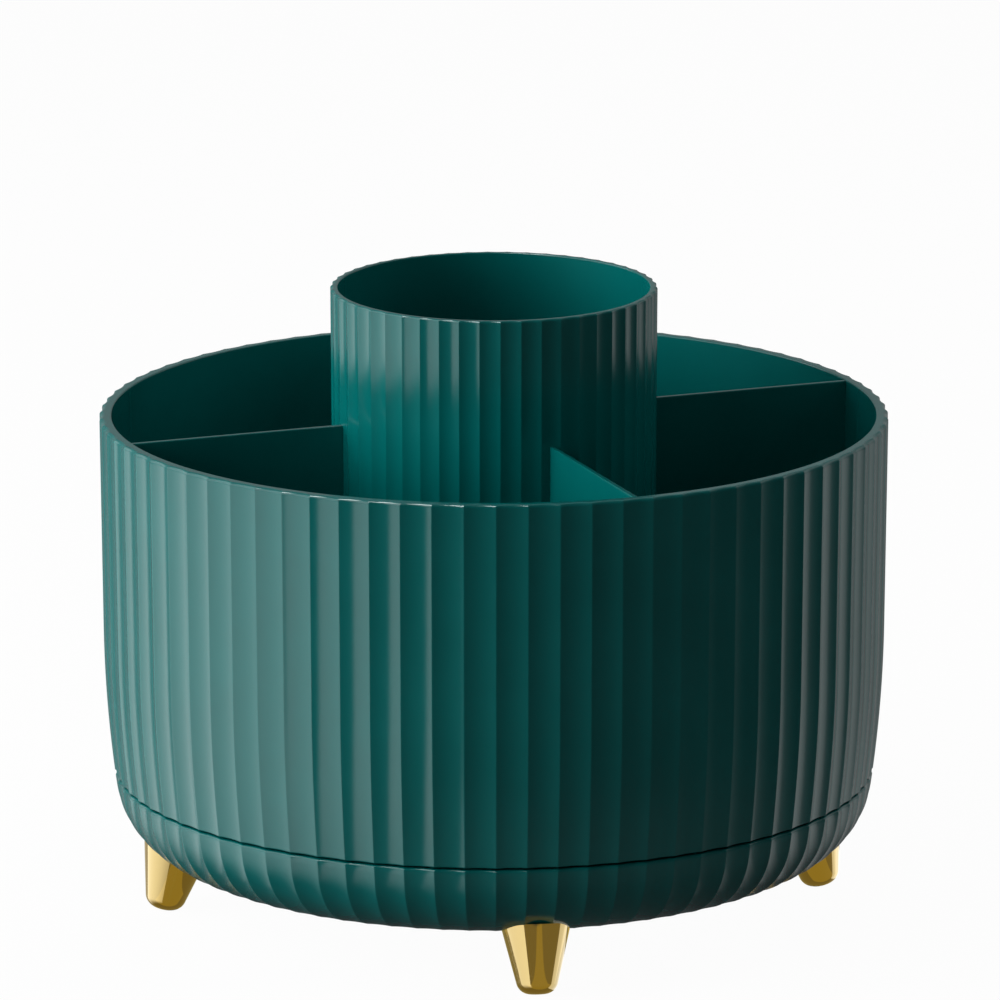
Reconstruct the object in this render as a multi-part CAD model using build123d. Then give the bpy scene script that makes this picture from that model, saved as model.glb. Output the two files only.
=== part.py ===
from build123d import *
import os
from math import cos, radians, sin, sqrt, tan

# Rotating makeup organizer: a fluted drum with four compartments and a taller fluted cup
# turns on a ball bearing inside a shallow fluted bowl, which stands on four splayed legs.
# Millimetres. Z is up, the table is Z = 0, and the axis of rotation is the Z axis.
# X is to the right and Y away from someone who stands at the front of the object.

# Outer wall, shared by drum and bowl: a slightly drafted upper part, a long shallow arc
# below it, and a tight corner arc that runs into the flat underside.
rim_radius = 115.0
rim_height = 147.6
wall_draft = 0.46
draft_foot_height = 84.8
belly_radius = 380.0
corner_angle = 7.7
underside_height = 17.1
seam_height = 41.4
seam_gap = 0.7
wall_thickness = 3.0
rim_round = 1.0
rim_round_steps = 2
seam_round = 0.4
seam_round_steps = 1
inner_edge_break = 0.4
belly_levels = 3

# Concave flutes of drum and bowl. A ridge stands at the phase angle.
flute_count = 80
flute_depth = 0.6
flute_phase = 0.37
bowl_flute_levels = 6

# Drum floor, its top a little above the seam
floor_rise = 4.7
floor_thickness = 2.6
slot_depth = 1.2

# Centre cup
cup_radius = 47.6
cup_height = 184.8
cup_draft = 0.25
cup_wall = 1.7
cup_rim_round = 0.7
cup_floor = 2.4
cup_flute_count = 50
cup_flute_depth = 0.5
cup_flute_phase = 5.95

# Dividers
divider_thickness = 1.6
divider_top_drop = 0.3
divider_phase = 21.0
divider_edge_round = 0.4
tongue_inset = 3.0

# Ball bearing
ball_radius = 3.0
ball_pitch_radius = 62.0
ball_count = 16
groove_slack = 0.15
groove_depth = 1.0
race_thickness = 3.0
race_inner_width = 12.5
race_outer_width = 6.0
cage_half_width = 4.4
cage_thickness = 2.4

# Seats of the races, moulded on drum and bowl
seat_rib_thickness = 2.4
seat_boss_radius = 3.8
rib_thickness = 1.8
rib_count = 8
rib_phase = 33.0
bowl_rib_height = 27.0

# Race screws
race_screw_radius = 1.5
race_screw_head_radius = 2.8
race_screw_bite = 3.5
race_screw_offset = 8.0
race_screw_count = 4
lower_screw_phase = 0.0
upper_screw_phase = 45.0

# Pivot on the axis
bush_radius = 6.0
bush_flange_radius = 8.6
bush_flange_thickness = 1.2
pivot_boss_radius = 9.4
pivot_boss_depth = 5.0
hub_radius = 9.2
hub_foot_radius = 13.4
hub_foot_height = 27.0
hub_recess_radius = 10.4
hub_recess_height = 24.4
pivot_screw_radius = 2.5
pivot_screw_head_radius = 4.6
pivot_screw_head_height = 3.2
pivot_screw_length = 20.0
washer_radius = 8.4
washer_thickness = 1.2

# Cup screws
cup_screw_radius = 1.5
cup_screw_head_radius = 2.8
cup_screw_bite = 6.4
cup_screw_inset = 11.6
cup_screw_count = 3
cup_screw_phase = 30.0
cup_boss_radius = 3.6
cup_boss_height = 8.0

# Legs
leg_tip_inset = 16.8
leg_tip_height = 0.15
leg_splay = 13.0
leg_taper = 13.7
leg_tip_radius = 5.2
leg_tip_round = 4.0
leg_length = 20.6
leg_phase = 7.3
leg_socket_wall = 1.6
leg_boss_height = 3.2
leg_screw_radius = 2.0
leg_screw_head_radius = 3.6
leg_screw_head_height = 2.6
leg_screw_length = 12.0

# Proportions of the screw heads, as shares of the head's radius or height
pan_crown_share = 0.7
pan_shoulder_share = 0.6
recess_length_share = 1.1
recess_width_share = 0.28
recess_depth_share = 0.35

# Clearances
running_clearance = 0.06
ball_clearance = 0.04
cage_clearance = 0.15
axial_play = 0.3
insert_clearance = 0.1
screw_clearance = 0.05
screw_tip_clearance = 0.5

# How far a cut, or a rib that is joined to a wall, reaches past the faces it meets
overreach = 1.0

# Quadrants in which the four dividers and the four legs stand
quadrants = {"right": 0, "back": 1, "left": 2, "front": 3}

# Heights and centres that follow from the values above
shell_depth = wall_thickness + flute_depth
bowl_edge_height = seam_height - seam_gap
floor_height = seam_height + floor_rise
floor_underside = floor_height - floor_thickness
belly_top_radius = rim_radius - (rim_height - draft_foot_height) * tan(radians(wall_draft))
belly_centre_radius = belly_top_radius - belly_radius * cos(radians(wall_draft))
belly_centre_height = draft_foot_height + belly_radius * sin(radians(wall_draft))
corner_top_height = belly_centre_height - belly_radius * sin(radians(corner_angle))
corner_radius = (corner_top_height - underside_height) / (1 - sin(radians(corner_angle)))
corner_centre_height = underside_height + corner_radius
corner_centre_radius = belly_centre_radius + (belly_radius - corner_radius) * cos(radians(corner_angle))
race_inner_radius = ball_pitch_radius - race_inner_width
race_outer_radius = ball_pitch_radius + race_outer_width
race_screw_circle = ball_pitch_radius - race_screw_offset
race_screw_length = race_thickness + race_screw_bite
groove_radius = ball_radius + groove_slack
upper_race_top = seam_height
upper_race_face = upper_race_top - race_thickness
ball_height = upper_race_face + groove_depth - ball_clearance - ball_radius
lower_race_face = ball_height - ball_radius - ball_clearance + groove_depth
lower_race_bottom = lower_race_face - race_thickness
pivot_boss_bottom = floor_underside - pivot_boss_depth
hub_top = pivot_boss_bottom - bush_flange_thickness - axial_play
bush_bottom = hub_recess_height - axial_play
bowl_floor_top = underside_height + shell_depth
cup_base_radius = cup_radius - (cup_height - floor_height) * tan(radians(cup_draft))
cup_screw_circle = cup_radius - cup_screw_inset
cup_screw_length = floor_thickness + cup_screw_bite
leg_tip_circle = rim_radius - leg_tip_inset
leg_boss_radius = leg_tip_radius + leg_length * tan(radians(leg_taper)) + leg_socket_wall


def polar(radius, degrees, height=0.0):
    """Point at a radius and an angle round the Z axis."""
    return Vector(radius * cos(radians(degrees)), radius * sin(radians(degrees)), height)


def wall_radius(height, inset=0.0):
    """Radius of the outer wall's ridge line at a height, moved inwards square to the wall by inset."""
    draft_foot = belly_centre_height - (belly_radius - inset) * sin(radians(wall_draft))
    corner_top = corner_centre_height - (corner_radius - inset) * sin(radians(corner_angle))
    if height >= draft_foot:
        offset = inset / cos(radians(wall_draft))
        return rim_radius - offset - (rim_height - height) * tan(radians(wall_draft))
    if height >= corner_top:
        return belly_centre_radius + sqrt((belly_radius - inset) ** 2 - (belly_centre_height - height) ** 2)
    drop = min(corner_centre_height - height, corner_radius - inset)
    return corner_centre_radius + sqrt((corner_radius - inset) ** 2 - drop ** 2)


def fluted_section(height, radius, count, depth, phase):
    """Flat face bounded by concave arcs that meet in ridges on a circle of the given radius."""
    pitch = 360 / count
    arcs = []
    for k in range(count):
        start = polar(radius, phase + k * pitch, height)
        valley = polar(radius - depth, phase + (k + 0.5) * pitch, height)
        end = polar(radius, phase + (k + 1) * pitch, height)
        arcs.append(Edge.make_three_point_arc(start, valley, end))
    return Face(Wire(arcs))


def wall_section(height, inset=0.0, depth=flute_depth):
    """Section of the shared outer wall."""
    return fluted_section(height, wall_radius(height) - inset, flute_count, depth, flute_phase)


def fluted_body(sections):
    """Straight sided body through a stack of fluted sections."""
    return Part() + Solid.make_loft([s.outer_wire() for s in sections], ruled=True)


def rounded_edge(height, radius, side, steps):
    """Heights and insets of a quarter round between wall and edge face. Side is 1 at a top edge."""
    angles = [radians(90 * k / steps) for k in range(steps + 1)]
    return [(height - side * radius * (1 - sin(a)), radius * (1 - cos(a))) for a in angles]


def ring(inner_radius, outer_radius, bottom, top):
    """Flat ring, or a disc where the inner radius is zero."""
    body = Pos(0, 0, bottom) * extrude(Circle(outer_radius), top - bottom)
    if inner_radius > 0:
        body -= Pos(0, 0, bottom) * extrude(Circle(inner_radius), top - bottom)
    return body


def around(body, count, phase):
    """Copies of a body, equally spaced round the Z axis."""
    return [Rot(0, 0, phase + k * 360 / count) * body for k in range(count)]


def turned(points):
    """Body turned round the Z axis from a closed outline of radius and height pairs."""
    outline = Plane.XZ * make_face(Polyline(points, close=True))
    return revolve(outline, Axis.Z)


def drum_cavity(clearance=0.0):
    """Space inside the drum above its floor, made smaller by the clearance at the wall."""
    inset = shell_depth + clearance
    draft_foot = belly_centre_height - (belly_radius - inset) * sin(radians(wall_draft))
    belly_middle = (floor_height + draft_foot) / 2
    over = rim_height + overreach
    line = Line((0, floor_height), (wall_radius(floor_height, inset), floor_height))
    line += ThreePointArc(
        (wall_radius(floor_height, inset), floor_height),
        (wall_radius(belly_middle, inset), belly_middle),
        (wall_radius(draft_foot, inset), draft_foot),
    )
    line += Polyline(
        (wall_radius(draft_foot, inset), draft_foot),
        (wall_radius(rim_height - inner_edge_break, inset), rim_height - inner_edge_break),
        (wall_radius(rim_height, inset) + inner_edge_break, rim_height),
        (wall_radius(rim_height, inset) + inner_edge_break, over),
        (0, over),
        (0, floor_height),
    )
    return revolve(Plane.XZ * make_face(line), Axis.Z)


def bowl_cavity():
    """Space inside the bowl above its floor, with the corner arc moved inwards by the wall."""
    inner_corner = corner_radius - shell_depth
    diagonal = inner_corner * cos(radians(45))
    over = bowl_edge_height + seam_gap
    side = corner_centre_radius + inner_corner
    line = Line((0, bowl_floor_top), (corner_centre_radius, bowl_floor_top))
    line += ThreePointArc(
        (corner_centre_radius, bowl_floor_top),
        (corner_centre_radius + diagonal, corner_centre_height - diagonal),
        (side, corner_centre_height),
    )
    line += Polyline((side, corner_centre_height), (side, over), (0, over), (0, bowl_floor_top))
    return revolve(Plane.XZ * make_face(line), Axis.Z)


def drum_skin():
    """Solid fluted drum, rounded over at the rim and at the seam."""
    lower_edge = rounded_edge(seam_height, seam_round, -1, seam_round_steps)
    belly_foot = seam_height + seam_round
    belly_step = (draft_foot_height - belly_foot) / belly_levels
    sections = [wall_section(h, inset) for h, inset in lower_edge[::-1]]
    sections += [wall_section(belly_foot + k * belly_step) for k in range(1, belly_levels + 1)]
    upper_edge = rounded_edge(rim_height, rim_round, 1, rim_round_steps)
    sections += [wall_section(h, inset) for h, inset in upper_edge]
    return fluted_body(sections)


def bowl_skin():
    """Solid fluted bowl. The flutes fade out where the corner arc meets the underside."""
    upper_edge = rounded_edge(bowl_edge_height, seam_round, 1, seam_round_steps)
    sections = [wall_section(h, inset) for h, inset in upper_edge[::-1]]
    for k in range(1, bowl_flute_levels):
        angle = corner_angle + k * (90 - corner_angle) / bowl_flute_levels
        height = corner_centre_height - corner_radius * sin(radians(angle))
        fade = (1 - (k / bowl_flute_levels) ** 3) ** 2
        sections.append(wall_section(height, depth=flute_depth * fade / cos(radians(angle))))
    sections.append(wall_section(underside_height, depth=0.0))
    return fluted_body(sections[::-1])


def countersunk_screw(radius, head_radius, length):
    """Self tapping screw on the Z axis, flat head up at Z = 0, with a cross recess."""
    cone = head_radius - radius
    body = turned([(0, 0), (head_radius, 0), (radius, -cone), (radius, radius - length), (0, -length)])
    return body - cross_recess(head_radius)


def pan_screw(radius, head_radius, head_height, length):
    """Screw on the Z axis, seated at Z = 0 with its head above, with a cross recess."""
    crown = head_radius * pan_crown_share
    shoulder = head_height * pan_shoulder_share
    body = turned([
        (0, head_height), (crown, head_height), (head_radius, shoulder), (head_radius, 0),
        (radius, 0), (radius, radius / 2 - length), (radius / 2, -length), (0, -length),
    ])
    return body - Pos(0, 0, head_height) * cross_recess(head_radius)


def cross_recess(head_radius):
    """Cross shaped driver recess below Z = 0."""
    long_side = head_radius * recess_length_share
    short_side = head_radius * recess_width_share
    depth = head_radius * recess_depth_share
    bar = Pos(0, 0, -depth / 2) * Box(long_side, short_side, depth)
    return bar + Rot(0, 0, 90) * bar


def race_screw():
    return countersunk_screw(race_screw_radius, race_screw_head_radius, race_screw_length)


def leg_frame(quadrant):
    """Placement of one leg: its Z axis runs from the tip up the middle of the leg."""
    tip = Pos(leg_tip_circle, 0, leg_tip_height)
    return Rot(0, 0, leg_phase + 90 * quadrant) * tip * Rot(0, -leg_splay, 0)


def leg_cone(extra=0.0, length=leg_length):
    """Tapered leg with its full tip rounding, standing on Z = 0, made thicker by extra."""
    slope = tan(radians(leg_taper))
    outline = Plane.XZ * make_face(Polyline(
        (0, 0), (leg_tip_radius + extra, 0), (leg_tip_radius + extra + length * slope, length), (0, length),
        close=True,
    ))
    body = revolve(outline, Axis.Z)
    tip_edge = body.edges().filter_by(GeomType.CIRCLE).sort_by(Axis.Z)[0]
    return fillet(tip_edge, leg_tip_round)


def leg(quadrant):
    """Gold plated leg: screwed up into its socket, cut flat where it stands on the table."""
    body = leg_cone()
    bore_depth = leg_screw_length - leg_boss_height + leg_screw_radius
    bore = Pos(0, 0, leg_length - bore_depth) * Cylinder(
        leg_screw_radius + screw_clearance, bore_depth, align=(Align.CENTER, Align.CENTER, Align.MIN))
    body = leg_frame(quadrant) * (body - bore)
    below_table = Pos(leg_tip_circle * cos(radians(leg_phase + 90 * quadrant)),
                      leg_tip_circle * sin(radians(leg_phase + 90 * quadrant)), 0)
    below_table *= Box(2 * leg_boss_radius, 2 * leg_boss_radius, leg_tip_radius,
                       align=(Align.CENTER, Align.CENTER, Align.MAX))
    return body - below_table


def leg_screws():
    screw = pan_screw(leg_screw_radius, leg_screw_head_radius, leg_screw_head_height, leg_screw_length)
    seat = Pos(0, 0, leg_length + leg_boss_height)
    return [leg_frame(q) * seat * screw for q in quadrants.values()]


def race(bottom, groove_side, screw_phase):
    """Bearing ring with a ball groove and countersunk holes. groove_side is 1 for up, -1 for down."""
    top = bottom + race_thickness
    body = ring(race_inner_radius, race_outer_radius, bottom, top)
    face = top if groove_side > 0 else bottom
    groove_height = face + groove_side * (groove_radius - groove_depth)
    groove = Pos(0, 0, groove_height) * Torus(ball_pitch_radius, groove_radius)
    hole_radius = race_screw_radius + screw_clearance
    hole = Cylinder(hole_radius, 2 * (race_thickness + overreach))
    sink_radius = race_screw_head_radius + screw_clearance
    sink = Pos(0, 0, -groove_side * (sink_radius - hole_radius) / 2) * Cone(
        hole_radius if groove_side > 0 else sink_radius,
        sink_radius if groove_side > 0 else hole_radius,
        sink_radius - hole_radius,
    )
    cutter = Pos(race_screw_circle, 0, face) * (hole + sink)
    body -= groove
    for one in around(cutter, race_screw_count, screw_phase):
        body -= one
    return body


def race_screws(face, head_side, screw_phase):
    """Screws of one race, with their heads flush with its grooved face."""
    screw = race_screw() if head_side > 0 else Rot(180, 0, 0) * race_screw()
    return around(Pos(race_screw_circle, 0, face) * screw, race_screw_count, screw_phase)


def race_seat(bottom, top, screw_phase):
    """Two ring walls that carry a race, and the bosses that its screws bite into."""
    body = ring(race_inner_radius, race_inner_radius + seat_rib_thickness, bottom, top)
    body += ring(race_outer_radius - seat_rib_thickness, race_outer_radius, bottom, top)
    boss = Pos(race_screw_circle, 0, bottom) * extrude(Circle(seat_boss_radius), top - bottom)
    for one in around(boss, race_screw_count, screw_phase):
        body += one
    return body


def screw_pilots(height, direction, screw_phase):
    """Pilot holes behind a race, a little deeper than its screws reach."""
    depth = race_screw_length - race_thickness + screw_tip_clearance
    hole = Pos(race_screw_circle, 0, height + direction * depth / 2)
    hole *= Cylinder(race_screw_radius + screw_clearance, depth)
    return around(hole, race_screw_count, screw_phase)


def ball_cage():
    """Flat retainer ring with a hole for each ball."""
    bottom = ball_height - cage_thickness / 2
    body = ring(ball_pitch_radius - cage_half_width, ball_pitch_radius + cage_half_width, bottom,
                bottom + cage_thickness)
    pocket = Pos(ball_pitch_radius, 0, ball_height)
    pocket *= Cylinder(ball_radius + cage_clearance, 2 * cage_thickness)
    for one in around(pocket, ball_count, 0):
        body -= one
    return body


def bearing_balls():
    return around(Pos(ball_pitch_radius, 0, ball_height) * Sphere(ball_radius), ball_count, 0)


def base_bowl():
    """Fluted bowl moulding with race seat, ribs, hub and leg sockets."""
    outside = bowl_skin()
    cavity = bowl_cavity()
    body = outside - cavity
    foot = bowl_floor_top - overreach
    inside = race_seat(foot, lower_race_bottom, lower_screw_phase)
    inside += ring(0, hub_foot_radius, underside_height, hub_foot_height)
    inside += ring(0, hub_radius, hub_foot_height, hub_top)
    rib = Pos(wall_radius(bowl_edge_height) / 2, 0, foot)
    rib *= Box(wall_radius(bowl_edge_height), rib_thickness, bowl_rib_height - foot,
               align=(Align.CENTER, Align.CENTER, Align.MIN))
    for one in around(rib, rib_count, rib_phase):
        inside += one
    boss_foot = leg_boss_radius
    boss = Pos(0, 0, leg_length - boss_foot) * extrude(
        Circle(leg_boss_radius), boss_foot + leg_boss_height)
    for q in quadrants.values():
        inside += leg_frame(q) * boss
    body += inside & outside
    socket = leg_cone(insert_clearance, leg_length)
    pilot = Pos(0, 0, leg_length - overreach) * Cylinder(
        leg_screw_radius + screw_clearance, leg_boss_height + 2 * overreach,
        align=(Align.CENTER, Align.CENTER, Align.MIN))
    for q in quadrants.values():
        body -= leg_frame(q) * socket
        body -= leg_frame(q) * pilot
    body -= ring(0, hub_recess_radius, underside_height - overreach, hub_recess_height)
    body -= ring(0, bush_radius + running_clearance, hub_recess_height, hub_top + overreach)
    for one in screw_pilots(lower_race_bottom, -1, lower_screw_phase):
        body -= one
    return body


def drum_shell():
    """Fluted drum moulding: wall, floor with divider slots, race seat, centre boss and ribs."""
    body = drum_skin() - drum_cavity()
    skirt_radius = wall_radius(floor_underside, shell_depth)
    body -= ring(0, skirt_radius, seam_height - overreach, floor_underside)
    root = floor_underside + overreach
    under = race_seat(upper_race_top, root, upper_screw_phase)
    under += ring(0, pivot_boss_radius, pivot_boss_bottom, root)
    rib = Pos(skirt_radius / 2, 0, seam_height)
    rib *= Box(skirt_radius, rib_thickness, root - seam_height,
               align=(Align.CENTER, Align.CENTER, Align.MIN))
    for one in around(rib, rib_count, rib_phase):
        under += one
    body += under & ring(0, skirt_radius + overreach, pivot_boss_bottom, root)
    for one in around(divider_slot(), len(quadrants), divider_phase):
        body -= one
    screw_tip = bush_bottom - washer_thickness + pivot_screw_length
    body -= ring(0, pivot_screw_radius + screw_clearance, pivot_boss_bottom - overreach,
                 screw_tip + screw_tip_clearance)
    for one in screw_pilots(upper_race_top, 1, upper_screw_phase):
        body -= one
    for one in around(cup_screw_hole(), cup_screw_count, cup_screw_phase):
        body -= one
    return body


def divider_slot():
    """Slot in the drum floor for a divider's tongue, along the X axis."""
    start = cup_radius + tongue_inset - insert_clearance
    end = wall_radius(floor_height, shell_depth) - tongue_inset + insert_clearance
    width = divider_thickness + 2 * insert_clearance
    return Pos(start, 0, floor_height) * Box(
        end - start, width, slot_depth, align=(Align.MIN, Align.CENTER, Align.MAX))


def divider():
    """Radial partition along the X axis: a panel with a tongue below and a rounded top edge."""
    top = rim_height - divider_top_drop
    outer = wall_radius(rim_height)
    panel = Pos(cup_base_radius / 2, 0, floor_height) * Box(
        outer, divider_thickness, top - floor_height, align=(Align.MIN, Align.CENTER, Align.MIN))
    long_edges = panel.edges().filter_by(Axis.X).group_by(Axis.Z)[-1]
    panel = fillet(long_edges, divider_edge_round)
    panel = panel & drum_cavity(insert_clearance)
    start = cup_radius + tongue_inset
    end = wall_radius(floor_height, shell_depth) - tongue_inset
    panel += Pos(start, 0, floor_height - slot_depth + insert_clearance) * Box(
        end - start, divider_thickness, slot_depth, align=(Align.MIN, Align.CENTER, Align.MIN))
    return panel


def cup_skin(extra=0.0):
    """Solid fluted cup, rounded over at the rim, made thicker by extra."""
    levels = [(floor_height, 0)] + rounded_edge(cup_height, cup_rim_round, 1, rim_round_steps)
    sections = []
    for height, inset in levels:
        radius = cup_radius - (cup_height - height) * tan(radians(cup_draft)) - inset + extra
        sections.append(fluted_section(height, radius, cup_flute_count, cup_flute_depth, cup_flute_phase))
    return fluted_body(sections)


def centre_cup():
    """Tall cup that stands on the drum floor, with bosses for the screws from below."""
    depth = cup_wall + cup_flute_depth
    inner_bottom = floor_height + cup_floor
    over = cup_height + overreach
    inner_base = cup_base_radius + cup_floor * tan(radians(cup_draft)) - depth
    inner_top = cup_radius - depth
    mouth = inner_top + inner_edge_break
    body = cup_skin() - turned([
        (0, inner_bottom), (inner_base, inner_bottom), (inner_top, cup_height - inner_edge_break),
        (mouth, cup_height), (mouth, over), (0, over),
    ])
    boss = Pos(cup_screw_circle, 0, floor_height + cup_floor / 2)
    boss *= extrude(Circle(cup_boss_radius), cup_boss_height - cup_floor / 2)
    for one in around(boss, cup_screw_count, cup_screw_phase):
        body += one
    pilot = Pos(cup_screw_circle, 0, floor_height)
    pilot_depth = cup_screw_length - floor_thickness + screw_tip_clearance
    pilot *= Cylinder(cup_screw_radius + screw_clearance, pilot_depth,
                      align=(Align.CENTER, Align.CENTER, Align.MIN))
    for one in around(pilot, cup_screw_count, cup_screw_phase):
        body -= one
    return body


def cup_screw_hole():
    """Countersunk hole up through the drum floor."""
    hole_radius = cup_screw_radius + screw_clearance
    sink_radius = cup_screw_head_radius + screw_clearance
    sink_height = sink_radius - hole_radius
    hole = Pos(0, 0, floor_thickness / 2) * Cylinder(hole_radius, 2 * floor_thickness)
    sink = Pos(0, 0, sink_height / 2) * Cone(sink_radius, hole_radius, sink_height)
    return Pos(cup_screw_circle, 0, floor_underside) * (hole + sink)


def cup_screws():
    screw = Rot(180, 0, 0) * countersunk_screw(cup_screw_radius, cup_screw_head_radius, cup_screw_length)
    return around(Pos(cup_screw_circle, 0, floor_underside) * screw, cup_screw_count, cup_screw_phase)


def pivot_bush():
    """Flanged bush fixed to the drum's centre boss. Its barrel turns in the bowl's hub."""
    body = ring(0, bush_radius, bush_bottom, pivot_boss_bottom)
    body += ring(0, bush_flange_radius, pivot_boss_bottom - bush_flange_thickness, pivot_boss_bottom)
    return body - ring(0, pivot_screw_radius + screw_clearance, bush_bottom - overreach,
                       pivot_boss_bottom + overreach)


def centre_washer():
    """Wide washer under the hub's shoulder, which stops the drum from lifting off."""
    bottom = bush_bottom - washer_thickness
    return ring(pivot_screw_radius + screw_clearance, washer_radius, bottom, bush_bottom)


def centre_screw():
    screw = pan_screw(pivot_screw_radius, pivot_screw_head_radius, pivot_screw_head_height,
                      pivot_screw_length)
    return Pos(0, 0, bush_bottom - washer_thickness) * Rot(180, 0, 0) * screw


def save(name, solids):
    """Writes one node. A list becomes a group of separate solids."""
    if isinstance(solids, list):
        body = Compound(children=[one.solid() for one in solids])
    else:
        body = solids.solid()
    body.label = name
    export_step(body, f"parts/{name}.step")


os.makedirs("parts", exist_ok=True)

cup_envelope = cup_skin(insert_clearance)
save("base_bowl", base_bowl())
save("drum_shell", drum_shell())
save("centre_cup", centre_cup())
for side, quadrant in quadrants.items():
    save(f"leg_{side}", leg(quadrant))
    placed = Rot(0, 0, divider_phase + 90 * quadrant) * divider()
    save(f"divider_{side}", placed - cup_envelope)
save("leg_screws", leg_screws())
save("lower_race", race(lower_race_bottom, 1, lower_screw_phase))
save("upper_race", race(upper_race_face, -1, upper_screw_phase))
save("lower_race_screws", race_screws(lower_race_face, 1, lower_screw_phase))
save("upper_race_screws", race_screws(upper_race_face, -1, upper_screw_phase))
save("ball_cage", ball_cage())
save("bearing_balls", bearing_balls())
save("cup_screws", cup_screws())
save("pivot_bush", pivot_bush())
save("centre_washer", centre_washer())
save("centre_screw", centre_screw())
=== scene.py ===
import bpy
import numpy as np
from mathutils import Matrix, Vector


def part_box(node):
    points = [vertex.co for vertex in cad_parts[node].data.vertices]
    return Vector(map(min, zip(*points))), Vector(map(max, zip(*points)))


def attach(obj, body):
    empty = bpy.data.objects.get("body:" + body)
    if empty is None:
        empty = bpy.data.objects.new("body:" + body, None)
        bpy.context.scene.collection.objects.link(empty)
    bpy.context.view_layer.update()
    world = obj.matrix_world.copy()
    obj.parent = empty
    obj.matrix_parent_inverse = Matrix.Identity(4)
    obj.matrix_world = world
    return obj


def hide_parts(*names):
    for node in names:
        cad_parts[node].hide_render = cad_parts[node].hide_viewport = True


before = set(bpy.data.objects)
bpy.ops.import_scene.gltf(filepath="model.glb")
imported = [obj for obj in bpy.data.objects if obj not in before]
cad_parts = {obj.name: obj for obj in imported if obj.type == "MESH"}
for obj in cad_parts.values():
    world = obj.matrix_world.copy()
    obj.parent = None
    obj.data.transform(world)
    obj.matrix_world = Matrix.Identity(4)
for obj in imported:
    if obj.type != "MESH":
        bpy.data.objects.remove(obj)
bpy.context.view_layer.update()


# BASE BOWL
# A shallow bowl moulded in deep green ABS, fluted like the drum above it. It stands still on its
# legs. Two ring walls inside carry the lower bearing ring, and the pivot hub is in its middle.

# Sizes are in millimetres and angles in degrees. Heights are from the table.
mm = 0.001
wall_draft = 0.46
draft_foot = 84.8
belly_radius = 380.0
corner_angle = 7.7
wall_thickness = 3.0
flute_count = 80
flute_depth = 0.6
flute_phase = 0.37
race_width = 18.5

rim_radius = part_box("drum_shell")[1].y / mm
rim_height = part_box("drum_shell")[1].z / mm
bowl_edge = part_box("base_bowl")[1].z / mm
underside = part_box("base_bowl")[0].z / mm
race_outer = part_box("lower_race")[1].x / mm
race_inner = race_outer - race_width
shell_depth = wall_thickness + flute_depth
slope = np.tan(np.radians(wall_draft))
belly_r = rim_radius - (rim_height - draft_foot) * slope - belly_radius * np.cos(np.radians(wall_draft))
belly_z = draft_foot + belly_radius * np.sin(np.radians(wall_draft))
corner_top = belly_z - belly_radius * np.sin(np.radians(corner_angle))
corner_radius = (corner_top - underside) / (1 - np.sin(np.radians(corner_angle)))
corner_r = belly_r + (belly_radius - corner_radius) * np.cos(np.radians(corner_angle))
corner_z = underside + corner_radius


def belly_angle(height, inset=0.0):
    """Angle on the belly arc, in degrees from straight outwards, at a height."""
    return np.degrees(np.arcsin((height - belly_z) / (belly_radius - inset)))


def belly(height, inset=0.0):
    """Radius of the belly arc at a height, moved inwards square to the wall by inset."""
    return belly_r + (belly_radius - inset) * np.cos(np.radians(belly_angle(height, inset)))


def run(start, end, push=(0.0, 0.0), hold=0.15):
    """Straight stretch of a profile: its two ends, and a point a little inside each, which keeps
    the shading flat. Rows are radius, height, and the way that a flute pushes the point."""
    start, end = np.array(start, float), np.array(end, float)
    share = min(hold / np.hypot(*(end - start)), 0.4)
    at = np.array([0, share, 1 - share, 1])[:, None]
    return np.hstack([start + at * (end - start), np.tile(push, (4, 1))])


def bend(centre, radius, start, end, steps, share=0.0, sideways=False):
    """Arc of a profile between two angles, in degrees from straight outwards. A flute pushes its
    points square to the arc, or straight inwards at the round of an edge, by a share of its depth."""
    angle = np.radians(np.linspace(start, end, steps + 1))
    out = np.stack([np.cos(angle), np.sin(angle)], 1)
    push = np.tile([-1.0, 0.0], (steps + 1, 1)) if sideways else -out
    return np.hstack([np.array(centre, float) + radius * out, push * np.reshape(share, (-1, 1))])


def outline(*stretches):
    """Stretches of a profile joined up. A point that repeats the one before it is left out."""
    rows = np.vstack(stretches)
    repeated = np.abs(rows[:, :2] - np.roll(rows[:, :2], 1, 0)).max(1) < 1e-6
    return rows[~repeated]


def fluted(profile, count, depth, phase):
    """A profile carried round the Z axis. Across one flute the place u runs from 0 to 1 by the
    cosine rule, close together at the ridges, and the hollow is 4 u (1 - u) of its full depth.
    The ridges are blunt: they stand a fiftieth of the depth lower."""
    steps = 12
    u = (1 - np.cos(np.pi * np.arange(steps) / steps)) / 2
    angle = np.radians(phase + ((np.arange(count)[:, None] + u) * 360 / count).ravel())
    hollow = np.tile(np.maximum(4 * u * (1 - u), 0.02), count) * depth
    radius = profile[:, :1] + profile[:, 2:3] * hollow
    height = profile[:, 1:2] + profile[:, 3:4] * hollow
    return np.stack([radius * np.cos(angle), radius * np.sin(angle), height], 2)


def turned(profile, columns=96):
    """A plain profile carried round the Z axis."""
    angle = np.linspace(0, 2 * np.pi, columns, endpoint=False)
    radius, height = profile[:, :1], profile[:, 1:2]
    return np.stack([radius * np.cos(angle), radius * np.sin(angle), height + 0 * angle], 2)


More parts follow.
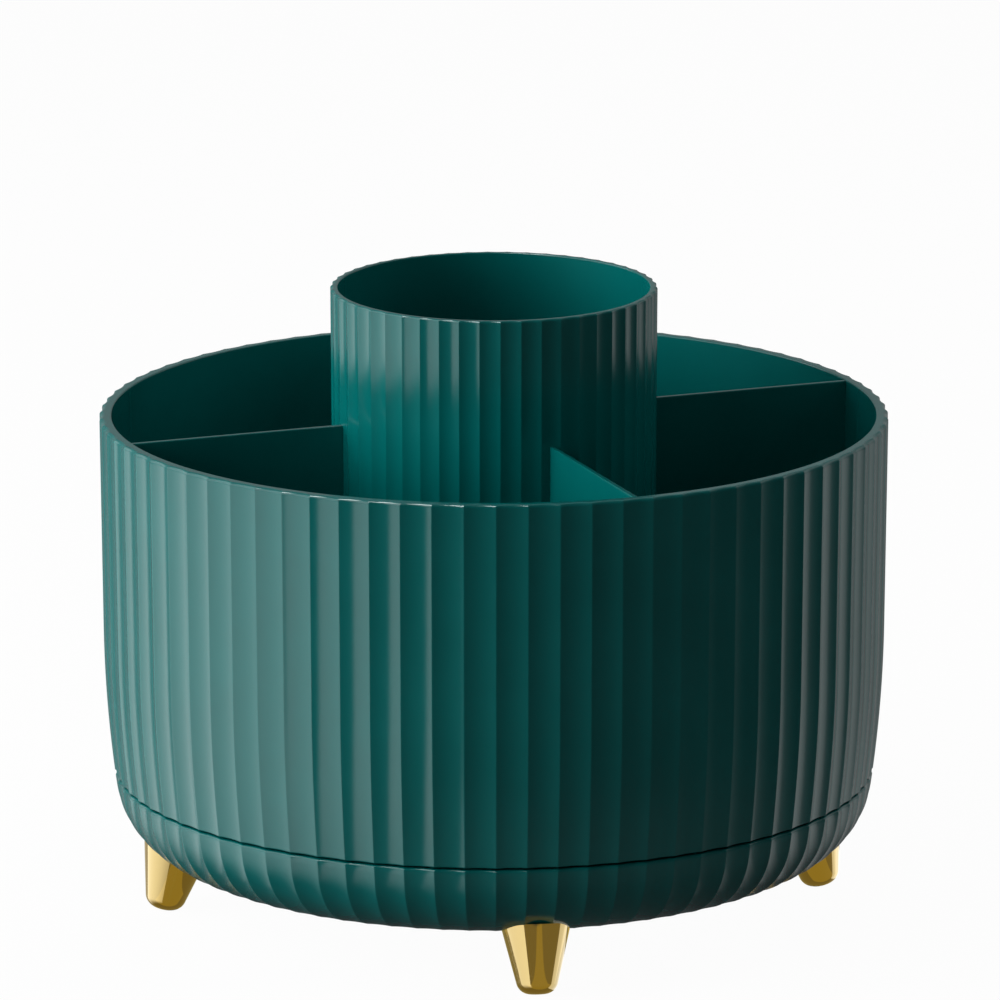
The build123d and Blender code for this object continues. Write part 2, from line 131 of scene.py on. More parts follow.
def surface(name, grids, material, closed=False, crease=50):
    """One mesh over grids of points in millimetres, rows by columns. Columns join round, and rows
    too where closed. A row that lies on one point becomes a pole. Faces look outwards: they are
    turned over where the sum of corner times face area vector, the volume, is negative."""
    points, faces = [], []
    for grid in grids:
        index = np.arange(grid.shape[0] * grid.shape[1]).reshape(grid.shape[:2])
        for row in (0, -1):
            if np.ptp(grid[row], axis=0).max() < 1e-6:
                index[row] = index[row, 0]
        upper = index if closed else index[:-1]
        lower = np.roll(index, -1, 0) if closed else index[1:]
        quads = np.stack([upper, np.roll(upper, -1, 1), np.roll(lower, -1, 1), lower], 2).reshape(-1, 4)
        a, b, c, d = grid.reshape(-1, 3)[quads].transpose(1, 0, 2)
        if (a * np.cross(c - a, d - b)).sum() < 0:
            quads = quads[:, ::-1]
        kept, quads = np.unique(quads, return_inverse=True)
        quads = quads.reshape(-1, 4)
        single = quads != np.roll(quads, 1, 1)
        whole = single.all(1)
        offset = sum(map(len, points))
        faces += (quads[whole] + offset).tolist()
        faces += (quads[~whole][single[~whole]].reshape(-1, 3) + offset).tolist()
        points.append(grid.reshape(-1, 3)[kept])
    mesh = bpy.data.meshes.new(name)
    mesh.from_pydata(np.concatenate(points) * mm, [], faces)
    mesh.shade_smooth()
    mesh.set_sharp_from_angle(angle=np.radians(crease))
    mesh.materials.append(material)
    piece = bpy.data.objects.new(name, mesh)
    bpy.context.scene.collection.objects.link(piece)
    return piece


def bars(count, phase, inner, outer, thickness, bottom, top, undercut=0.0):
    """Radial ribs, each a four column grid between two square ends that close on their middles.
    The foot of the outer end may be undercut, to follow a wall that leans outwards."""
    across = np.array([-1, 1, 1, -1]) * thickness / 2
    foot = np.array([1, 1, 0, 0])
    middle, half = (bottom + top) / 2, (top - bottom) / 2
    rows = []
    for radius, cut, size in ((inner, 0, 0), (inner, 0, 1), (outer, undercut, 1), (outer, undercut, 0)):
        back = cut * (foot if size else np.full(4, 0.5))
        rows.append(np.stack([radius - back, across * size, middle + (1 - 2 * foot) * half * size], 1))
    return [spun(np.array(rows), phase + k * 360 / count) for k in range(count)]


def spun(grid, degrees):
    """A grid turned round the Z axis."""
    c, s = np.cos(np.radians(degrees)), np.sin(np.radians(degrees))
    return grid @ np.array([[c, s, 0], [-s, c, 0], [0, 0, 1]])


def studs(count, phase, circle, radius, bottom, top):
    """Screw bosses: plain cylinders that stand on a circle."""
    side = outline(run((0, bottom), (radius, bottom)), run((radius, bottom), (radius, top)),
                   run((radius, top), (0, top)))
    post = turned(side, 32) + (circle, 0, 0)
    return [spun(post, phase + k * 360 / count) for k in range(count)]


def linear(code):
    """An sRGB hex colour as linear red, green and blue, with alpha."""
    value = np.array([int(code[i:i + 2], 16) for i in (1, 3, 5)]) / 255
    value = np.where(value <= 0.04045, value / 12.92, ((value + 0.055) / 1.055) ** 2.4)
    return (*value.tolist(), 1.0)


def add(tree, kind, inputs, **settings):
    """Adds a node with its settings. Each input gets a value, or a link from another's output."""
    node = tree.nodes.new(kind)
    for key, value in settings.items():
        setattr(node, key, value)
    for key, value in inputs.items():
        if isinstance(value, bpy.types.NodeSocket):
            tree.links.new(value, node.inputs[key])
        else:
            node.inputs[key].default_value = value
    return node


def blank_material(name):
    """A named material with an empty shader tree, and the object's own coordinates in it."""
    material = bpy.data.materials.new(name)
    material.use_nodes = True
    material.node_tree.nodes.clear()
    tree = material.node_tree
    return material, tree, add(tree, "ShaderNodeTexCoord", {}).outputs["Object"]


# Injection moulded ABS out of a satin polished mould: deep green with a broad soft sheen. The
# mould's polish leaves a fine waviness, drawn with 1.6 mm waves, and slow flow marks about
# 25 mm long shift the gloss and the colour a little.
green_abs, tree, place = blank_material("satin_moulded_green_abs")
flow = add(tree, "ShaderNodeTexNoise", {"Vector": place, "Scale": 1 / (25 * mm), "Detail": 2.0})
tone = add(tree, "ShaderNodeValToRGB", {"Fac": flow.outputs["Fac"]})
tone.color_ramp.elements[0].position = 0.3
tone.color_ramp.elements[0].color = linear("#006765")
tone.color_ramp.elements[1].position = 0.7
tone.color_ramp.elements[1].color = linear("#006c6a")
gloss = add(tree, "ShaderNodeMapRange", {"Value": flow.outputs["Fac"], "To Min": 0.17, "To Max": 0.22})
waves = add(tree, "ShaderNodeTexNoise", {"Vector": place, "Scale": 1 / (1.6 * mm), "Detail": 1.0})
relief = add(tree, "ShaderNodeBump", {
    "Height": waves.outputs["Fac"], "Strength": 0.2, "Distance": 0.02 * mm,
})
shader = add(tree, "ShaderNodeBsdfPrincipled", {
    "Base Color": tone.outputs["Color"], "Roughness": gloss.outputs["Result"], "IOR": 1.6,
    "Normal": relief.outputs["Normal"],
})
add(tree, "ShaderNodeOutputMaterial", {"Surface": shader.outputs["BSDF"]})

hub_radius = 9.2
hub_foot_radius = 13.4
hub_foot = 27.0
hub_bore = 6.06
recess_radius = 10.4
bush_flange = 1.2
axial_play = 0.3
ring_wall = 2.4
edge_round = 0.8
lip = 0.3
corner_steps = 18

bowl_floor = underside + shell_depth
hub_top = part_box("pivot_bush")[1].z / mm - bush_flange - axial_play
recess_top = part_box("centre_washer")[1].z / mm + axial_play
race_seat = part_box("lower_race")[0].z / mm
cavity_side = corner_r + corner_radius - shell_depth
wall_r = belly(bowl_edge - edge_round)
flute_fade = (1 - np.linspace(0, 1, corner_steps + 1) ** 3) ** 2
inner_ring = race_inner + ring_wall
outer_ring = race_outer - ring_wall

bowl_profile = outline(
    run((hub_bore, recess_top), (hub_bore, hub_top)),
    run((hub_bore, hub_top), (hub_radius, hub_top)),
    run((hub_radius, hub_top), (hub_radius, hub_foot)),
    run((hub_radius, hub_foot), (hub_foot_radius, hub_foot)),
    run((hub_foot_radius, hub_foot), (hub_foot_radius, bowl_floor)),
    run((hub_foot_radius, bowl_floor), (race_inner, bowl_floor)),
    run((race_inner, bowl_floor), (race_inner, race_seat)),
    run((race_inner, race_seat), (inner_ring, race_seat)),
    run((inner_ring, race_seat), (inner_ring, bowl_floor)),
    run((inner_ring, bowl_floor), (outer_ring, bowl_floor)),
    run((outer_ring, bowl_floor), (outer_ring, race_seat)),
    run((outer_ring, race_seat), (race_outer, race_seat)),
    run((race_outer, race_seat), (race_outer, bowl_floor)),
    run((race_outer, bowl_floor), (corner_r, bowl_floor)),
    bend((corner_r, corner_z), corner_radius - shell_depth, -90, 0, 10),
    run((cavity_side, corner_z), (cavity_side, bowl_edge)),
    run((cavity_side, bowl_edge), (wall_r - edge_round - 2 * lip - flute_depth, bowl_edge)),
    run((wall_r - edge_round - lip, bowl_edge), (wall_r - edge_round, bowl_edge), (-1, 0)),
    bend((wall_r - edge_round, bowl_edge - edge_round), edge_round, 90, 0, 6, 1.0, True),
    bend((belly_r, belly_z), belly_radius, belly_angle(bowl_edge - edge_round), -corner_angle, 2, 1.0),
    bend((corner_r, corner_z), corner_radius, -corner_angle, -90, corner_steps, flute_fade),
    run((corner_r, underside), (recess_radius, underside), hold=2.0),
    run((recess_radius, underside), (recess_radius, recess_top)),
    run((recess_radius, recess_top), (hub_bore, recess_top)),
)
bowl_grid = fluted(bowl_profile, flute_count, flute_depth, flute_phase)
bowl = surface("bowl_shell", [bowl_grid], green_abs, closed=True)
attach(bowl, "base")
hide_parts("base_bowl")

# Eight ribs that stiffen the floor, and the bosses of the lower ring's screws.
rib_count = 8
rib_phase = 33
rib_thickness = 1.8
rib_top = 27.0
rib_reach = 104.0
rib_undercut = 8.0
seat_boss_count = 4
bowl_boss_phase = 0
seat_boss_radius = 3.8
seat_boss_inset = 4.5
sunk = 1.0

seat_boss_circle = race_inner + seat_boss_inset
bowl_rib_grids = bars(rib_count, rib_phase, hub_radius, rib_reach, rib_thickness,
                      bowl_floor - sunk / 2, rib_top, rib_undercut)
bowl_boss_grids = studs(seat_boss_count, bowl_boss_phase, seat_boss_circle, seat_boss_radius,
                        bowl_floor - sunk, race_seat)
bowl_ribs = surface("bowl_ribs", bowl_rib_grids + bowl_boss_grids, green_abs)
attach(bowl_ribs, "base")


# LEGS
# Four short tapered legs with domed tips, moulded in ABS and vacuum plated in gold. They splay
# outwards, sit in sockets in the bowl and are held by a screw from inside.

leg_inset = 16.8
leg_lift = 0.15
leg_splay = 13.0
leg_taper = 13.7
leg_tip_radius = 5.2
leg_tip_round = 4.0
leg_length = 20.6
leg_phase = 7.3
leg_boss_radius = 8.0
leg_boss_height = 3.2
leg_circle = rim_radius - leg_inset

# Vacuum plated gold under a clear lacquer: a saturated metal that mirrors the room, and over it
# the lacquer's own clear, whitish gleam. The lacquer levels out, with faint 3 mm waves.
plated_gold, tree, place = blank_material("vacuum_plated_gold")
waves = add(tree, "ShaderNodeTexNoise", {"Vector": place, "Scale": 1 / (3 * mm), "Detail": 1.0})
gloss = add(tree, "ShaderNodeMapRange", {"Value": waves.outputs["Fac"], "To Min": 0.04, "To Max": 0.07})
relief = add(tree, "ShaderNodeBump", {
    "Height": waves.outputs["Fac"], "Strength": 0.15, "Distance": 0.02 * mm,
})
shader = add(tree, "ShaderNodeBsdfPrincipled", {
    "Base Color": linear("#b19c5d"), "Metallic": 1.0, "Roughness": gloss.outputs["Result"],
    "Coat Weight": 1.0, "Coat Roughness": 0.05, "Coat IOR": 1.8, "Normal": relief.outputs["Normal"],
})
add(tree, "ShaderNodeOutputMaterial", {"Surface": shader.outputs["BSDF"]})

cone = np.tan(np.radians(leg_taper))
tip_centre = leg_tip_radius + leg_tip_round * (cone - 1 / np.cos(np.radians(leg_taper)))
leg_top_radius = leg_tip_radius + leg_length * cone
tip_edge = leg_tip_round * np.array([np.cos(np.radians(leg_taper)), -np.sin(np.radians(leg_taper))])
leg_profile = outline(
    run((0, 0), (tip_centre, 0)),
    bend((tip_centre, leg_tip_round), leg_tip_round, -90, -leg_taper, 16),
    run((tip_centre, leg_tip_round) + tip_edge, (leg_top_radius, leg_length)),
    run((leg_top_radius, leg_length), (0, leg_length)),
)


def leaned(grid, side):
    """A grid in a leg's own frame, tilted by the splay, set on the leg circle and turned to its
    side. What would reach under the table is pressed flat on it."""
    c, s = np.cos(np.radians(leg_splay)), np.sin(np.radians(leg_splay))
    tilted = grid @ np.array([[c, 0, s], [0, 1, 0], [-s, 0, c]]) + (leg_circle, 0, leg_lift)
    tilted[..., 2] = np.maximum(tilted[..., 2], 0)
    return spun(tilted, leg_phase + 90 * side)


sides = ("right", "back", "left", "front")
gold_legs = bpy.data.collections.new("gold_legs")
for k, side in enumerate(sides):
    leg = surface(f"gold_leg_{side}", [leaned(turned(leg_profile), k)], plated_gold)
    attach(leg, "base")
    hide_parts(f"leg_{side}")
    gold_legs.objects.link(leg)

# Bosses inside the bowl, under the heads of the leg screws.
boss_top = leg_length + leg_boss_height
boss_profile = outline(
    run((0, leg_length), (leg_boss_radius, leg_length)),
    run((leg_boss_radius, leg_length), (leg_boss_radius, boss_top)),
    run((leg_boss_radius, boss_top), (0, boss_top)),
)
leg_boss_grids = [leaned(turned(boss_profile, 48), k) for k in range(len(sides))]
leg_bosses = surface("leg_bosses", leg_boss_grids, green_abs)
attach(leg_bosses, "base")


# BEARING
# Two acetal rings with a ball groove, sixteen steel balls between them in a black nylon cage,
# and zinc plated countersunk screws that hold one ring to the bowl and the other to the drum.

def painted(node, material):
    """Gives a CAD node its material."""
    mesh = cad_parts[node].data
    mesh.materials.clear()
    mesh.materials.append(material)


# Moulded acetal: off white and slightly waxy, lit a little from within, with a dull even gloss.
acetal, tree, place = blank_material("moulded_acetal")
cloud = add(tree, "ShaderNodeTexNoise", {"Vector": place, "Scale": 1 / (9 * mm), "Detail": 2.0})
gloss = add(tree, "ShaderNodeMapRange", {"Value": cloud.outputs["Fac"], "To Min": 0.38, "To Max": 0.48})
shader = add(tree, "ShaderNodeBsdfPrincipled", {
    "Base Color": linear("#e4e1d6"), "Roughness": gloss.outputs["Result"], "IOR": 1.48,
    "Subsurface Weight": 0.15, "Subsurface Scale": 1 * mm,
})
add(tree, "ShaderNodeOutputMaterial", {"Surface": shader.outputs["BSDF"]})

# Moulded nylon with carbon black: dark, dull, with a grain of about half a millimetre.
nylon, tree, place = blank_material("black_moulded_nylon")
grain = add(tree, "ShaderNodeTexNoise", {"Vector": place, "Scale": 1 / (0.5 * mm), "Detail": 2.0})
relief = add(tree, "ShaderNodeBump", {
    "Height": grain.outputs["Fac"], "Strength": 0.3, "Distance": 0.03 * mm,
})
shader = add(tree, "ShaderNodeBsdfPrincipled", {
    "Base Color": linear("#1d1e20"), "Roughness": 0.5, "IOR": 1.53, "Normal": relief.outputs["Normal"],
})
add(tree, "ShaderNodeOutputMaterial", {"Surface": shader.outputs["BSDF"]})

# Hardened bearing steel, lapped: a neutral mirror.
bearing_steel, tree, place = blank_material("lapped_bearing_steel")
haze = add(tree, "ShaderNodeTexNoise", {"Vector": place, "Scale": 1 / (2 * mm)})
gloss = add(tree, "ShaderNodeMapRange", {"Value": haze.outputs["Fac"], "To Min": 0.04, "To Max": 0.1})
shader = add(tree, "ShaderNodeBsdfPrincipled", {
    "Base Color": linear("#c6c6c4"), "Metallic": 1.0, "Roughness": gloss.outputs["Result"],
})
add(tree, "ShaderNodeOutputMaterial", {"Surface": shader.outputs["BSDF"]})

# Zinc plated steel, clear passivated: pale grey with a faint blue cast, and the spangle of the
# plating about 1.5 mm across.
zinc, tree, place = blank_material("zinc_plated_steel")
spangle = add(tree, "ShaderNodeTexVoronoi", {"Vector": place, "Scale": 1 / (1.5 * mm)})
gloss = add(tree, "ShaderNodeMapRange", {
    "Value": spangle.outputs["Distance"], "To Min": 0.24, "To Max": 0.36,
})
shader = add(tree, "ShaderNodeBsdfPrincipled", {
    "Base Color": linear("#b8bdc4"), "Metallic": 1.0, "Roughness": gloss.outputs["Result"],
})
add(tree, "ShaderNodeOutputMaterial", {"Surface": shader.outputs["BSDF"]})

painted("lower_race", acetal)
painted("upper_race", acetal)
painted("ball_cage", nylon)
painted("bearing_balls", bearing_steel)
painted("pivot_bush", acetal)
fasteners = (
    "leg_screws", "lower_race_screws", "upper_race_screws", "cup_screws", "centre_screw", "centre_washer",
)
for node in fasteners:
    painted(node, zinc)


# DRUM
# The turning drum, moulded in the same green ABS in one piece with its floor: fluted outside,
# smooth inside, with a softly rounded rim. Ribs and ring walls underneath carry the upper ring.

rim_round = 1.0
inner_edge_round = 0.4
seam_round = 0.4
floor_fillet = 0.8
pivot_boss_radius = 9.4
pivot_screw_bore = 2.55
screw_tip_clearance = 0.5
drum_floor_thickness = 2.6
drum_boss_phase = 45

seam_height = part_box("upper_race")[1].z / mm
floor_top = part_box("centre_cup")[0].z / mm
floor_underside = floor_top - drum_floor_thickness
pivot_boss_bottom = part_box("pivot_bush")[1].z / mm
screw_bore_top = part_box("centre_screw")[1].z / mm + screw_tip_clearance
inner_foot = belly(floor_top + floor_fillet, shell_depth)
inner_draft_r = belly(draft_foot, shell_depth)
inner_rim = inner_draft_r + (rim_height - inner_edge_round - draft_foot) * slope
outer_draft_r = belly(draft_foot)
outer_rim = outer_draft_r + (rim_height - rim_round - draft_foot) * slope
lower_edge_r = belly(seam_height + seam_round)
skirt = belly(floor_underside, shell_depth)

drum_profile = outline(
    run((0, floor_top), (inner_foot - floor_fillet, floor_top), hold=4.0),
    bend((inner_foot - floor_fillet, floor_top + floor_fillet), floor_fillet, -90, 0, 4),
    bend((belly_r, belly_z), belly_radius - shell_depth,
         belly_angle(floor_top + floor_fillet, shell_depth), belly_angle(draft_foot, shell_depth), 8),
    run((inner_draft_r, draft_foot), (inner_rim, rim_height - inner_edge_round)),
    bend((inner_rim + inner_edge_round, rim_height - inner_edge_round), inner_edge_round, 180, 90, 4),
    run((inner_rim + inner_edge_round, rim_height),
        (outer_rim - rim_round - 2 * lip - flute_depth, rim_height)),
    run((outer_rim - rim_round - lip, rim_height), (outer_rim - rim_round, rim_height), (-1, 0)),
    bend((outer_rim - rim_round, rim_height - rim_round), rim_round, 90, 0, 6, 1.0, True),
    run((outer_rim, rim_height - rim_round), (outer_draft_r, draft_foot), (-1, 0)),
    bend((belly_r, belly_z), belly_radius, -wall_draft, belly_angle(seam_height + seam_round), 10, 1.0),
    bend((lower_edge_r - seam_round, seam_height + seam_round), seam_round, 0, -90, 5, 1.0, True),
    run((lower_edge_r - seam_round, seam_height), (lower_edge_r - seam_round - lip, seam_height), (-1, 0)),
    run((lower_edge_r - seam_round - 2 * lip - flute_depth, seam_height), (skirt, seam_height)),
    run((skirt, seam_height), (skirt, floor_underside)),
    run((skirt, floor_underside), (race_outer, floor_underside)),
    run((race_outer, floor_underside), (race_outer, seam_height)),
    run((race_outer, seam_height), (outer_ring, seam_height)),
    run((outer_ring, seam_height), (outer_ring, floor_underside)),
    run((outer_ring, floor_underside), (inner_ring, floor_underside)),
    run((inner_ring, floor_underside), (inner_ring, seam_height)),
    run((inner_ring, seam_height), (race_inner, seam_height)),
    run((race_inner, seam_height), (race_inner, floor_underside)),
    run((race_inner, floor_underside), (pivot_boss_radius, floor_underside)),
    run((pivot_boss_radius, floor_underside), (pivot_boss_radius, pivot_boss_bottom)),
    run((pivot_boss_radius, pivot_boss_bottom), (pivot_screw_bore, pivot_boss_bottom)),
    run((pivot_screw_bore, pivot_boss_bottom), (pivot_screw_bore, screw_bore_top)),
    run((pivot_screw_bore, screw_bore_top), (0, screw_bore_top)),
)
drum_grid = fluted(drum_profile, flute_count, flute_depth, flute_phase)
drum = surface("drum", [drum_grid], green_abs)
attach(drum, "carousel")
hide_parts("drum_shell")

# Ribs and screw bosses under the drum floor, for the upper ring.
drum_rib_grids = bars(rib_count, rib_phase, pivot_boss_radius, skirt, rib_thickness,
                      seam_height, floor_underside + sunk)
drum_boss_grids = studs(seat_boss_count, drum_boss_phase, seat_boss_circle, seat_boss_radius,
                        seam_height, floor_underside + sunk)
drum_ribs = surface("drum_ribs", drum_rib_grids + drum_boss_grids, green_abs)
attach(drum_ribs, "carousel")


# DIVIDERS
# Four flat partitions of the same green ABS with rounded top edges. A tongue under each sits in a
# slot in the floor, and they part the drum into four compartments round the cup.

for side in sides:
    painted(f"divider_{side}", green_abs)


# CENTRE CUP
# The tall cup in the middle, of the same green ABS with finer flutes and a thin rounded rim.
# It stands on the drum floor, and three screws from below hold it by bosses in its own floor.

cup_flute_count = 50
cup_flute_depth = 0.5
cup_flute_phase = 5.95
cup_wall = 1.7
cup_floor = 2.4
cup_draft = 0.25
cup_round = 0.7
cup_fillet = 1.2
cup_lip = 0.15
cup_boss_count = 3
cup_boss_phase = 30
cup_boss_circle = 36.0
cup_boss_radius = 3.6
cup_boss_height = 8.0

cup_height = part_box("centre_cup")[1].z / mm
cup_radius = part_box("centre_cup")[1].x / mm
cup_lean = np.tan(np.radians(cup_draft))
cup_base = cup_radius - (cup_height - floor_top) * cup_lean
cup_shell = cup_wall + cup_flute_depth
cup_floor_top = floor_top + cup_floor
cup_inner_foot = cup_base + (cup_floor + cup_fillet) * cup_lean - cup_shell
cup_inner_rim = cup_radius - cup_shell

cup_profile = outline(
    run((0, cup_floor_top), (cup_inner_foot - cup_fillet, cup_floor_top), hold=4.0),
    bend((cup_inner_foot - cup_fillet, cup_floor_top + cup_fillet), cup_fillet, -90, 0, 5),
    run((cup_inner_foot, cup_floor_top + cup_fillet), (cup_inner_rim, cup_height - inner_edge_round)),
    bend((cup_inner_rim + inner_edge_round, cup_height - inner_edge_round), inner_edge_round, 180, 90, 4),
    run((cup_inner_rim + inner_edge_round, cup_height),
        (cup_radius - cup_round - 2 * cup_lip - cup_flute_depth, cup_height)),
    run((cup_radius - cup_round - cup_lip, cup_height), (cup_radius - cup_round, cup_height), (-1, 0)),
    bend((cup_radius - cup_round, cup_height - cup_round), cup_round, 90, 0, 5, 1.0, True),
    run((cup_radius, cup_height - cup_round), (cup_base, floor_top), (-1, 0)),
    run((cup_base - 2 * cup_flute_depth, floor_top), (0, floor_top), hold=4.0),
)
cup_grid = fluted(cup_profile, cup_flute_count, cup_flute_depth, cup_flute_phase)
cup = surface("brush_cup", [cup_grid], green_abs)
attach(cup, "carousel")
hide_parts("centre_cup")

# Bosses on the cup's floor, which its screws bite into.
cup_boss_grids = studs(cup_boss_count, cup_boss_phase, cup_boss_circle, cup_boss_radius,
                       cup_floor_top - sunk, floor_top + cup_boss_height)
cup_bosses = surface("cup_bosses", cup_boss_grids, green_abs)
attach(cup_bosses, "carousel")


# STUDIO
# A polished white table in a white room. The large softbox on the left gives the long pale gleams, a
# small lamp the glints along the edges, and the other lamps light the walls and the inside. Small
# cards on the table give the gold legs their stripes.

lamp_aim = Vector((0, 0, 0.09))


def lamp(name, bearing, distance, height, width, tall, watts, mirrored=True, lights=True):
    """A rectangular softbox that faces the object, with its lengths in metres. The bearing is in
    degrees to the right of the camera's side. It may be left out of the gloss, or work there alone."""
    light = bpy.data.lights.new(name, "AREA")
    light.shape = "RECTANGLE"
    light.size = width
    light.size_y = tall
    light.energy = watts
    holder = bpy.data.objects.new(name, light)
    a = np.radians(bearing)
    holder.location = (distance * np.sin(a), -distance * np.cos(a), height)
    holder.rotation_euler = (lamp_aim - holder.location).to_track_quat("-Z", "Y").to_euler()
    holder.visible_camera = False
    holder.visible_glossy = mirrored
    holder.visible_diffuse = lights
    bpy.context.scene.collection.objects.link(holder)


lamp("left_softbox", bearing=-80.5, distance=1.1, height=0.6, width=2.3, tall=1.2, watts=13.1)
lamp("right_softbox", bearing=120, distance=1.1, height=0.6, width=0.5, tall=1.2, watts=0.7)
lamp("spark_light", bearing=-50, distance=0.55, height=1.25, width=0.5, tall=0.5, watts=10, lights=False)
lamp("key_light", bearing=-75, distance=1.3, height=0.42, width=0.9, tall=0.7, watts=11, mirrored=False)
lamp("right_fill", bearing=100, distance=1.3, height=0.7, width=0.9, tall=0.9, watts=2.2, mirrored=False)
lamp("top_light", bearing=150, distance=0.5, height=1.3, width=1.0, tall=1.0, watts=3, mirrored=False)


def card(name, foot, lift, bearing, start, aside, width, length, strength, colour="#ffffff"):
    """A small bright card flat on the table beside a leg, which only the gold legs show. From the
    leg's foot, its length begins at start along the bearing and its width at aside across it, in
    metres."""
    light = bpy.data.lights.new(name, "AREA")
    light.shape = "RECTANGLE"
    light.size = width
    light.size_y = length
    light.energy = strength * np.pi * width * length
    light.color = linear(colour)[:3]
    holder = bpy.data.objects.new(name, light)
    a = np.radians(bearing)
    along, across = Vector((np.sin(a), -np.cos(a), 0)), Vector((np.cos(a), np.sin(a), 0))
    holder.location = Vector((*foot, lift)) + (start + length / 2) * along + (aside + width / 2) * across
    holder.rotation_euler = (np.pi, 0, a)
    holder.visible_camera = False
    holder.light_linking.receiver_collection = gold_legs
    bpy.context.scene.collection.objects.link(holder)


# A warm card lies all round each leg's foot and gives the gold its depth, and a narrow one in front
# brightens its middle. Two legs have a white one on their right, for the pale stripe there. The cards
# lie a step apart, so that no two share a plane.
warm = "#ffda30"
card_step = 0.3 * mm
for k, side in enumerate(sides):
    foot = spun(np.array([leg_circle * mm, 0, 0]), leg_phase + 90 * k)[:2]
    card(f"glow_{side}", foot, lift=card_step, bearing=0, start=-0.07, aside=-0.07,
         width=0.14, length=0.14, strength=0.25, colour=warm)
    card(f"front_strip_{side}", foot, lift=2 * card_step, bearing=12, start=0.006, aside=-0.01,
         width=0.02, length=0.08, strength=0.22, colour=warm)
    if side in ("front", "right"):
        card(f"right_strip_{side}", foot, lift=3 * card_step, bearing=90, start=0.005, aside=-0.0045,
             width=0.035, length=0.065, strength=0.9)

floor_half = 9.0
floor_mesh = bpy.data.meshes.new("studio_floor")
floor_mesh.from_pydata([(-floor_half, -floor_half, 0), (floor_half, -floor_half, 0),
                        (floor_half, floor_half, 0), (-floor_half, floor_half, 0)], [], [(0, 1, 2, 3)])
floor = bpy.data.objects.new("studio_floor", floor_mesh)
bpy.context.scene.collection.objects.link(floor)


def ray_kinds(tree):
    """Two signals: one for rays from the camera, one for rays that left a gloss or passed glass."""
    path = add(tree, "ShaderNodeLightPath", {})
    glint = add(tree, "ShaderNodeMath", {
        0: path.outputs["Is Glossy Ray"], 1: path.outputs["Is Transmission Ray"],
    }, operation="MAXIMUM")
    return path.outputs["Is Camera Ray"], glint.outputs[0]


# Polished white table top. The camera sees it all but white, with the object's soft shadow on it.
# In the gloss, a flat ray mirrors the lamps and the room in it and a steep one finds it dark. Under
# the object and round it the gloss also sees a painted glow: the table itself emits a little light.
table, tree, place = blank_material("polished_white_table")
from_camera, glint = ray_kinds(tree)
pale = add(tree, "ShaderNodeBsdfDiffuse", {"Color": linear("#f2f2f2")})
dim = add(tree, "ShaderNodeBsdfDiffuse", {"Color": linear("#808080")})
white = add(tree, "ShaderNodeEmission", {"Strength": 1.0})
slant = add(tree, "ShaderNodeLayerWeight", {"Blend": 0.5})
polish = add(tree, "ShaderNodeMapRange", {
    "Value": slant.outputs["Facing"], "From Min": 0.2, "From Max": 0.65, "To Min": 0.0, "To Max": 0.95,
}, interpolation_type="SMOOTHSTEP")
mirror = add(tree, "ShaderNodeBsdfGlossy", {"Color": polish.outputs["Result"], "Roughness": 0.05})
# Painted glow: near the object the table emits a little light, which only the gloss sees.
reach = add(tree, "ShaderNodeVectorMath", {0: place}, operation="LENGTH")
painted_glow_strength = add(tree, "ShaderNodeMapRange", {
    "Value": reach.outputs["Value"], "From Min": 0.16, "From Max": 0.3, "To Min": 0.06, "To Max": 0.0,
}, interpolation_type="SMOOTHSTEP")
glow = add(tree, "ShaderNodeEmission", {"Strength": painted_glow_strength.outputs["Result"]})
# The table in the gloss: its mirror plus the painted glow.
polished = add(tree, "ShaderNodeAddShader", {0: mirror.outputs[0], 1: glow.outputs[0]})
seen = add(tree, "ShaderNodeMixShader", {0: 0.97, 1: pale.outputs[0], 2: white.outputs[0]})
other = add(tree, "ShaderNodeMixShader", {0: glint, 1: dim.outputs[0], 2: polished.outputs[0]})
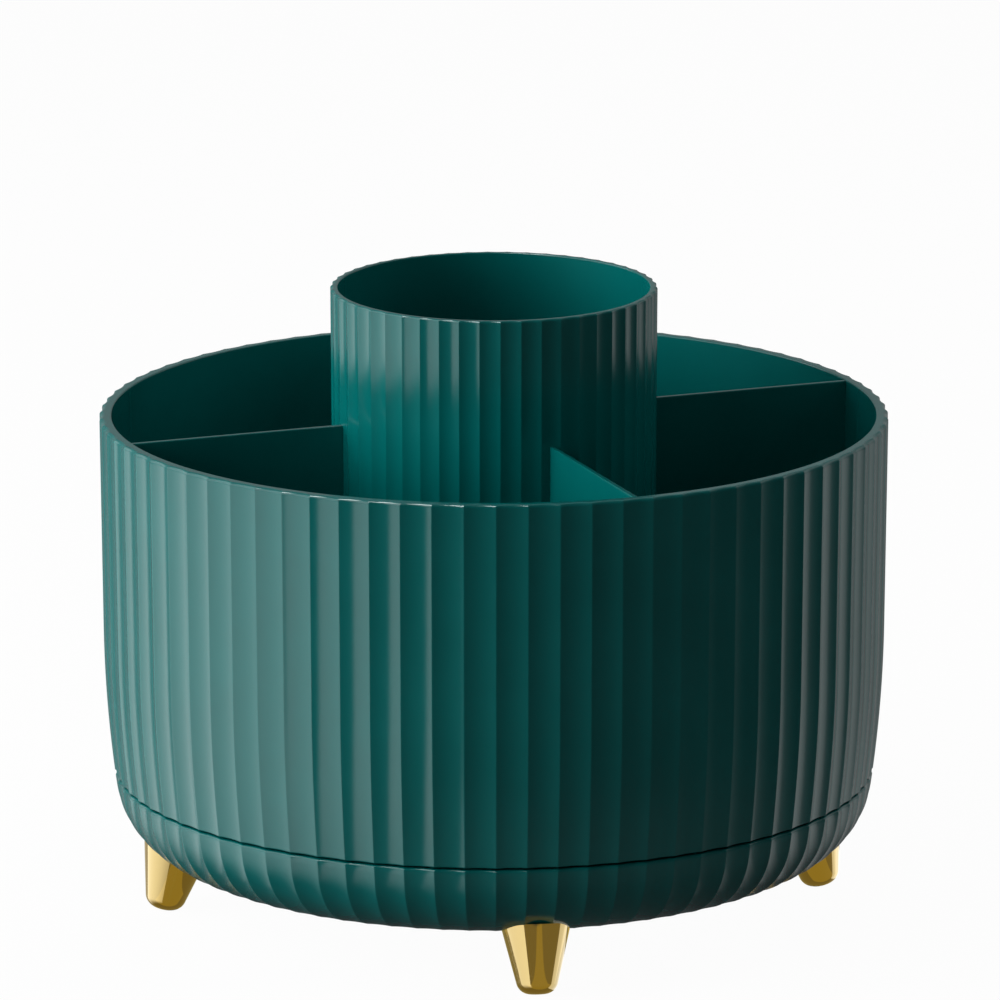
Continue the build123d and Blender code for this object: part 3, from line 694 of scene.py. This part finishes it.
both = add(tree, "ShaderNodeMixShader", {0: from_camera, 1: other.outputs[0], 2: seen.outputs[0]})
add(tree, "ShaderNodeOutputMaterial", {"Surface": both.outputs[0]})
floor_mesh.materials.append(table)

# The room: white to the camera. In the gloss it is pale behind the object and dark on the camera's
# side, and it fills the shadows a little.
world = bpy.data.worlds.new("studio_room")
bpy.context.scene.world = world
world.use_nodes = True
tree = world.node_tree
tree.nodes.clear()
from_camera, glint = ray_kinds(tree)
direction = add(tree, "ShaderNodeTexCoord", {}).outputs["Generated"]
parts = add(tree, "ShaderNodeSeparateXYZ", {"Vector": direction})
fall = add(tree, "ShaderNodeMapRange", {
    "Value": parts.outputs["Y"], "From Min": -0.2, "From Max": 0.8, "To Min": 0.03, "To Max": 0.28,
}, interpolation_type="SMOOTHSTEP")
fill = add(tree, "ShaderNodeBackground", {"Strength": 0.06})
mirrored = add(tree, "ShaderNodeBackground", {"Strength": fall.outputs["Result"]})
white = add(tree, "ShaderNodeBackground", {"Strength": 1.0})
for node in (fill, mirrored, white):
    node.inputs["Color"].default_value = (1, 1, 1, 1)
inner = add(tree, "ShaderNodeMixShader", {0: glint, 1: fill.outputs[0], 2: mirrored.outputs[0]})
outer = add(tree, "ShaderNodeMixShader", {0: from_camera, 1: inner.outputs[0], 2: white.outputs[0]})
add(tree, "ShaderNodeOutputWorld", {"Surface": outer.outputs[0]})

# The camera: a long lens, a little above the object, that looks slightly down at it.
camera_elevation = np.radians(13.97)
camera_distance = 2.37
focal_pixels = 8104.9
image_pixels = 1000
target = Vector((0.00179, 0, 0.12066))
lens = bpy.data.cameras.new("camera")
lens.sensor_width = 36
lens.lens = focal_pixels / image_pixels * lens.sensor_width
camera = bpy.data.objects.new("camera", lens)
towards_camera = Vector((0, -np.cos(camera_elevation), np.sin(camera_elevation)))
camera.location = target + camera_distance * towards_camera
camera.rotation_euler = (np.pi / 2 - camera_elevation, 0, 0)
bpy.context.scene.collection.objects.link(camera)
bpy.context.scene.camera = camera
bpy.context.scene.view_settings.view_transform = "Standard"
